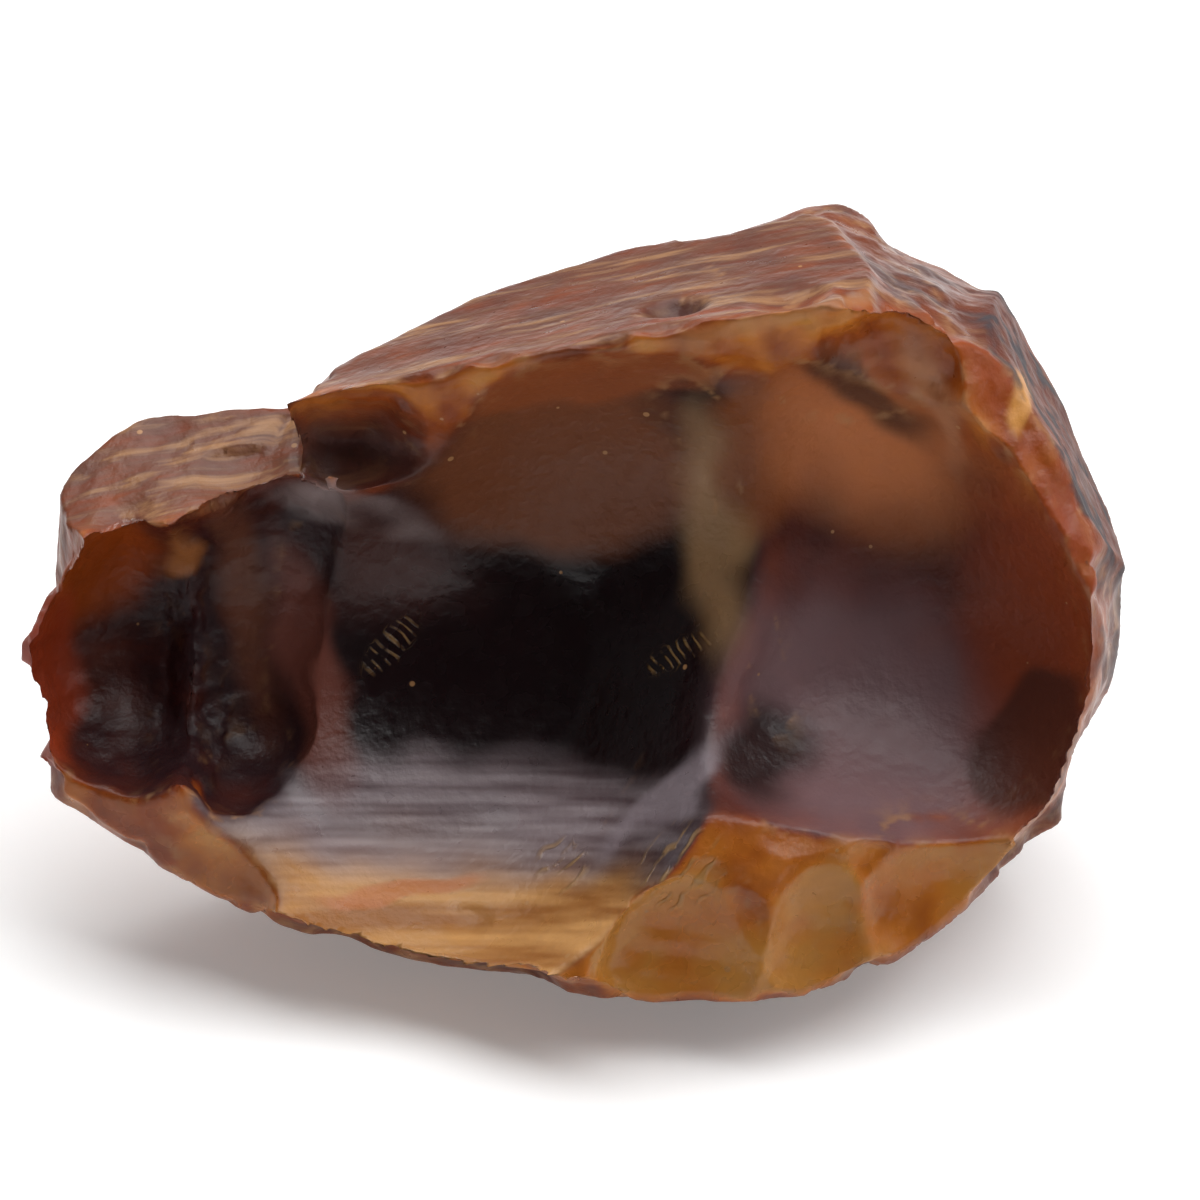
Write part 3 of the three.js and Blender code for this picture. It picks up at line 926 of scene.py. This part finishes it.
def keep_zones(mesh, at):
    """Keeps the zones' shares: those with bands one by one, the others as one colour."""
    p = at.p
    places = p / ZONE_WANDER_OVER
    wander = np.stack([noise(places, SEEDS["zone_u"]), noise(places, SEEDS["zone_v"]), 0 * p[:, 0]], 1)
    warped = p + ZONE_WANDER * wander
    colour, share = np.zeros((len(p), 3)), np.zeros(len(p))
    for name, zone in ZONES.items():
        along, over = across(warped, zone)
        inside = ease((1 - np.hypot(along, over)) / zone["soft"] + 0.5)
        inside = inside * on(mesh, zone["on"], at) * zone["share"]
        if "bands" in zone:
            keep(mesh, name, inside)
            continue
        colour += (np.array(linear(zone["colour"])[:3]) - colour) * inside[:, None]
        share += (1 - share) * inside
    keep(mesh, "zoned", share)
    keep_colour(mesh, "zone_colour", colour / np.maximum(share, 1e-3)[:, None])


def keep_combs(mesh, at):
    """Keeps where the combs of cracks are, and each point's place along its comb in cracks."""
    p = at.p
    facing = ease(at.turned[:, 2] / 0.4)
    share, teeth = np.zeros(len(p)), np.zeros(len(p))
    for comb in COMBS.values():
        along, over = across(p, comb)
        mine = ease((1 - np.hypot(along, over)) * 2.5) * facing
        teeth = np.where(mine > 0, along * comb["half"][0] / comb["spacing"], teeth)
        share = share + mine
    keep(mesh, "comb", share * ease((rough(p / 0.7, SEEDS["gaps"], 2) + 0.25) * 3))
    keep(mesh, "teeth", teeth + 0.5 * noise(p / 0.9, SEEDS["teeth"]))


def finish_stone(node, sizes):
    """The stone's finished surface, with what its material needs to know at each point."""
    stone = fine_copy(node, sizes)
    mesh = stone.data
    at = shape_stone(mesh, sizes)
    keep_body(mesh, at, sizes)
    keep_zones(mesh, at)
    keep_combs(mesh, at)
    for polygon in mesh.polygons:
        polygon.use_smooth = True
    return stone


def add_node(tree, kind, inputs=None, output=None, **settings):
    """Adds a node, sets it up, links or fills its inputs and gives it or one of its outputs."""
    node = tree.nodes.new(kind)
    for name, value in settings.items():
        setattr(node, name, value)
    for name, value in (inputs or {}).items():
        socket = node.inputs[name]
        if isinstance(value, bpy.types.NodeSocket):
            tree.links.new(value, socket)
        else:
            socket.default_value = value
    return node if output is None else node.outputs[output]


def fire_opal_material(colours):
    """Hydrous silica glass, freshly broken: a wet-looking skin over a deep red-brown body that
    lets light through amber where it is thin, dulled and paler where older breaks have weathered."""
    material = bpy.data.materials.new("rough_fire_opal")
    material.use_nodes = True
    tree = material.node_tree
    tree.nodes.clear()
    add = partial(add_node, tree)
    multiply = dict(output=0, operation="MULTIPLY")
    multiply_add = dict(output=0, operation="MULTIPLY_ADD")

    kept = {
        name: add("ShaderNodeAttribute", output="Fac", attribute_name=name)
        for name in ("tone", "veil", "clear", "matt", "rind", "bruised", "comb", "teeth", "zoned", *BANDED)
    }
    place = add("ShaderNodeTexCoord", output="Object")
    millimetres = add("ShaderNodeVectorMath", {0: place, "Scale": 1 / MM}, output=0, operation="SCALE")
    face = add(
        "ShaderNodeVectorRotate", {"Vector": millimetres, "Angle": LOOK_UP - math.pi / 2},
        output=0, rotation_type="X_AXIS",
    )

    # The body: the deeper the light has to come from, the darker and redder
    body = add("ShaderNodeValToRGB", {"Fac": kept["tone"]})
    ramp = body.color_ramp
    ramp.elements[0].color = colours.deep
    ramp.elements[1].color = colours.honey
    steps = ((0.14, colours.purple), (0.3, colours.red), (0.52, colours.orange), (0.75, colours.amber))
    for position, step in steps:
        ramp.elements.new(position).color = step
    colour = body.outputs["Color"]

    # Flow bands in the clear body and striae in the milky skin, drawn out along the face
    drawn_out = []
    for bands, detail in ((FLOW, 2.0), (STRIAE, 3.0)):
        turned = {"Vector": face, "Rotation": (0, 0, bands["turn"]), "Scale": bands["scale"]}
        turned = add("ShaderNodeMapping", turned, output=0)
        drawn = {"Vector": turned, "Scale": 1.0, "Detail": detail, "Roughness": 0.6}
        drawn_out.append(add("ShaderNodeTexNoise", drawn, output=0))
    flow, striae = drawn_out
    flow = add("ShaderNodeMapRange", {"Value": flow, "From Min": 0.35, "From Max": 0.65}, output=0)
    broad = {"Value": striae, "From Min": 0.34, "From Max": 0.56, "To Max": 0.8}
    broad = add("ShaderNodeMapRange", broad, output=0)
    pale = {"Value": striae, "From Min": 0.54, "From Max": 0.7, "To Max": 0.65}
    pale = add("ShaderNodeMapRange", pale, output=0)

    # Specks of crushed opal, one in some of the cells, up to 0.17 mm in radius
    specks = add("ShaderNodeTexVoronoi", {"Vector": face, "Scale": 1 / 1.7})
    picked = add("ShaderNodeSeparateColor", {"Color": specks.outputs["Color"]}, output=0)
    size = add("ShaderNodeMath", {0: picked, 1: 0.16, 2: -0.06}, **multiply_add)
    inside = {0: size, 1: specks.outputs["Distance"]}
    inside = add("ShaderNodeMath", inside, output=0, operation="SUBTRACT")
    speck = add("ShaderNodeMapRange", {"Value": inside, "From Max": 0.02, "To Max": 0.75}, output=0)

    # Combs of short cracks, one wave to a crack
    teeth = add("ShaderNodeCombineXYZ", {"X": kept["teeth"]}, output=0)
    comb = {"Vector": teeth, "Scale": 0.314, "Distortion": 3.5, "Detail": 2.0, "Detail Scale": 1.6}
    comb = add("ShaderNodeTexWave", comb, output="Fac")
    comb = {"Value": comb, "From Min": 0.62, "From Max": 0.95, "To Max": 0.6}
    comb = add("ShaderNodeMapRange", comb, output=0)
    cracks = add("ShaderNodeMath", {0: kept["comb"], 1: comb}, **multiply)

    # The colours lie over each other in this order
    layers = []
    for name in BANDED:
        ends = {0: flow, 6: linear(ZONES[name]["bands"]), 7: linear(ZONES[name]["colour"])}
        layers.append((kept[name], add("ShaderNodeMix", ends, output=2, data_type="RGBA")))
    layers += [
        (kept["zoned"], add("ShaderNodeAttribute", output="Color", attribute_name="zone_colour")),
        (add("ShaderNodeMath", {0: kept["veil"], 1: broad}, **multiply), colours.veil),
        (add("ShaderNodeMath", {0: kept["veil"], 1: pale}, **multiply), colours.bruise),
        (add("ShaderNodeMath", {0: kept["rind"], 1: 0.8}, **multiply), colours.rind),
        (add("ShaderNodeMath", {0: kept["bruised"], 1: 0.45}, **multiply), colours.bruise),
        (speck, colours.bruise),
        (cracks, colours.crack),
    ]
    for share, over in layers:
        colour = add("ShaderNodeMix", {0: share, 6: colour, 7: over}, output=2, data_type="RGBA")

    # A fine grain where the skin is matt, with the striae and the cracks
    fine = add("ShaderNodeTexNoise", {"Vector": face, "Scale": 2.0, "Detail": 3.0}, output=0)
    dull = add("ShaderNodeMath", {0: kept["matt"], 1: 2.4, 2: -0.24}, **multiply_add)
    height = add("ShaderNodeMath", {0: fine, 1: dull}, **multiply)
    veil_height = add("ShaderNodeMath", {0: kept["veil"], 1: 0.5}, **multiply)
    height = add("ShaderNodeMath", {0: striae, 1: veil_height, 2: height}, **multiply_add)
    height = add("ShaderNodeMath", {0: cracks, 1: 1.1, 2: height}, **multiply_add)
    bump = add("ShaderNodeBump", {"Height": height, "Strength": 0.8, "Distance": GRAIN_DEPTH}, output=0)

    roughness = add("ShaderNodeMath", {0: kept["rind"], 1: 0.2, 2: kept["matt"]}, **multiply_add)
    skin = add("ShaderNodeBsdfPrincipled", {
        "Base Color": colour,
        "Roughness": roughness,
        "Normal": bump,
        "Transmission Weight": kept["clear"],
        "IOR": OPAL_IOR,
        "Specular IOR Level": SHEEN,
    }, output=0)
    amber_glass = {"Color": AMBER_GLASS, "Density": AMBER_DENSITY}
    amber_glass = add("ShaderNodeVolumeAbsorption", amber_glass, output=0)
    add("ShaderNodeOutputMaterial", {"Surface": skin, "Volume": amber_glass})
    return material


def lit_floor_material():
    """Matt white acrylic that glows a little, so that shadows stay pale."""
    material = bpy.data.materials.new("white_acrylic")
    material.use_nodes = True
    skin = material.node_tree.nodes["Principled BSDF"]
    skin.inputs["Base Color"].default_value = linear("#F4F4F4")
    skin.inputs["Roughness"].default_value = 0.9
    skin.inputs["Emission Color"].default_value = linear("#FFFFFF")
    skin.inputs["Emission Strength"].default_value = FLOOR_GLOW
    material.cycles.emission_sampling = "NONE"
    return material


class OPAL_OT_stone(bpy.types.Operator):
    """Makes the stone's finished surface in place of its faceted solid"""

    bl_idname = "opal.stone"
    bl_label = "Stone"

    def execute(self, context):
        sizes, colours = context.scene.opal_sizes, context.scene.opal_colours
        stone = finish_stone(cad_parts["fire_opal"], sizes)
        stone.data.materials.clear()
        stone.data.materials.append(fire_opal_material(colours))
        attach(stone, "root")
        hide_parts("fire_opal")
        return {"FINISHED"}


def add_soft_light(name, place, target, size, power):
    """A rectangular soft box that faces a point."""
    data = bpy.data.lights.new(name, "AREA")
    data.shape = "RECTANGLE"
    data.size, data.size_y = size
    data.energy = power
    light = bpy.data.objects.new(name, data)
    light.location = place
    light.rotation_euler = (Vector(target) - Vector(place)).to_track_quat("-Z", "Y").to_euler()
    bpy.context.scene.collection.objects.link(light)


def room_light():
    """A room that is pale behind the stone and overhead, and dim behind the camera."""
    world = bpy.data.worlds.new("pale_room")
    world.use_nodes = True
    tree = world.node_tree
    way = add_node(tree, "ShaderNodeTexCoord", output="Generated")
    depth = add_node(tree, "ShaderNodeSeparateXYZ", {"Vector": way}, output="Y")
    fading = {
        "Value": depth, "From Min": ROOM_FROM, "From Max": ROOM_TO,
        "To Min": ROOM_DIM, "To Max": ROOM_PALE,
    }
    share = add_node(tree, "ShaderNodeMapRange", fading, output=0)
    back = tree.nodes["Background"]
    back.inputs["Color"].default_value = linear("#FFFFFF")
    tree.links.new(share, back.inputs["Strength"])
    return world


class OPAL_OT_stage(bpy.types.Operator):
    """Sets the floor, the light and the camera"""

    bl_idname = "opal.stage"
    bl_label = "Stage"

    def execute(self, context):
        scene, sizes = context.scene, context.scene.opal_stage
        middle = Vector(FACE_AT) * MM
        bpy.ops.mesh.primitive_plane_add(size=sizes.floor_span)
        floor = context.object
        floor.name = "floor"
        floor.data.materials.append(lit_floor_material())
        for name, box in SOFT_BOXES.items():
            add_soft_light(name, box["place"], middle, box["size"], box["power"])
        scene.world = room_light()
        camera = bpy.data.objects.new("camera", bpy.data.cameras.new("camera"))
        scene.collection.objects.link(camera)
        scene.camera = camera
        away = Vector((0, -math.cos(sizes.camera_height), math.sin(sizes.camera_height)))
        camera.location = middle + away * sizes.camera_distance
        camera.rotation_euler = (-away).to_track_quat("-Z", "Y").to_euler()
        span = PHOTO_PX / PX_PER_MM * MM
        camera.data.sensor_width = SENSOR_MM
        camera.data.lens = SENSOR_MM * sizes.camera_distance / span
        camera.data.clip_start = 0.01
        camera.data.clip_end = 10
        scene.view_settings.view_transform = "Standard"
        cycles = scene.cycles
        cycles.use_denoising = True
        cycles.max_bounces = 4
        cycles.diffuse_bounces = 2
        cycles.glossy_bounces = 2
        cycles.transmission_bounces = 4
        cycles.sample_clamp_indirect = 4
        cycles.adaptive_threshold = 0.08
        cycles.caustics_reflective = False
        cycles.caustics_refractive = False
        return {"FINISHED"}


class OPAL_PT_panel(bpy.types.Panel):
    """The stone's sizes and colours, and the operators that make it"""

    bl_label = "Rough fire opal"
    bl_idname = "OPAL_PT_panel"
    bl_space_type = "VIEW_3D"
    bl_region_type = "UI"
    bl_category = "Opal"

    def draw(self, context):
        for group in (context.scene.opal_sizes, context.scene.opal_colours, context.scene.opal_stage):
            for name in group.__annotations__:
                self.layout.prop(group, name)
        self.layout.operator(OPAL_OT_stone.bl_idname)
        self.layout.operator(OPAL_OT_stage.bl_idname)


CLASSES = (
    OpalStoneSizes, OpalStoneColours, OpalStageSizes,
    OPAL_OT_stone, OPAL_OT_stage, OPAL_PT_panel,
)


def register():
    for one in CLASSES:
        bpy.utils.register_class(one)
    bpy.types.Scene.opal_sizes = PointerProperty(type=OpalStoneSizes)
    bpy.types.Scene.opal_colours = PointerProperty(type=OpalStoneColours)
    bpy.types.Scene.opal_stage = PointerProperty(type=OpalStageSizes)


def unregister():
    del bpy.types.Scene.opal_stage
    del bpy.types.Scene.opal_colours
    del bpy.types.Scene.opal_sizes
    for one in reversed(CLASSES):
        bpy.utils.unregister_class(one)


def main():
    """Makes the stone and its stage."""
    register()
    bpy.ops.opal.stone()
    bpy.ops.opal.stage()
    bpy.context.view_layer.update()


if __name__ == "__main__":
    main()
